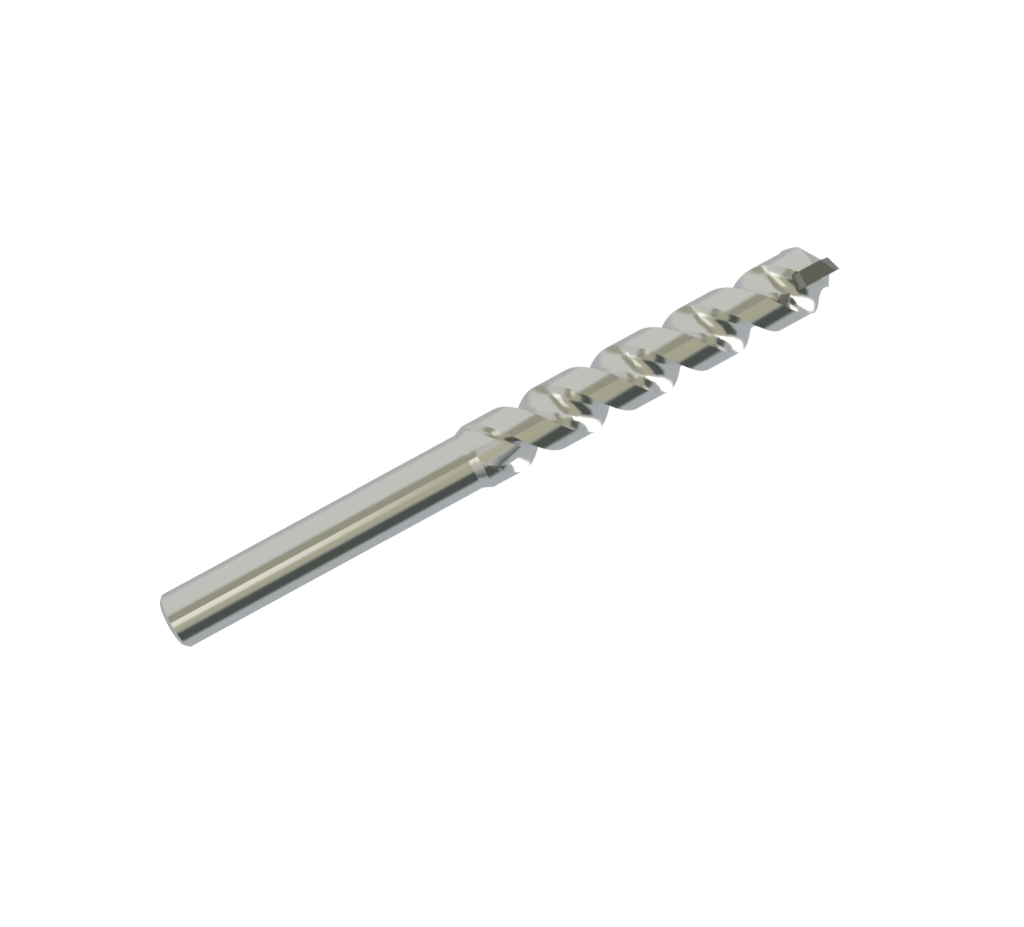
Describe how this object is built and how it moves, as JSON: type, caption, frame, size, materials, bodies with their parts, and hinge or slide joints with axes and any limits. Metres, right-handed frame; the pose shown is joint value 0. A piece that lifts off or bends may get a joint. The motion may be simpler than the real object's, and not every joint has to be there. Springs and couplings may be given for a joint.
{
  "type": "masonry drill bit",
  "caption": "Straight-shank masonry drill bit: turned steel shank, right-hand helical flutes and a brazed hardmetal plate at the point.",
  "frame": {"origin": "centre of the shank's flat end face", "axes": "+Z along the axis from the shank to the point; +X along the width of the hardmetal plate"},
  "size_m": [0.0144, 0.014, 0.15],
  "materials": {
    "bright_steel": "ground and polished bright steel",
    "hardmetal": "ground sintered tungsten carbide, dark grey",
    "braze": "dull yellow brazing metal"
  },
  "bodies": {
    "root": {"steel_body": "bright_steel", "carbide_tip": "hardmetal", "braze_layer": "braze"}
  },
  "joints": []
}
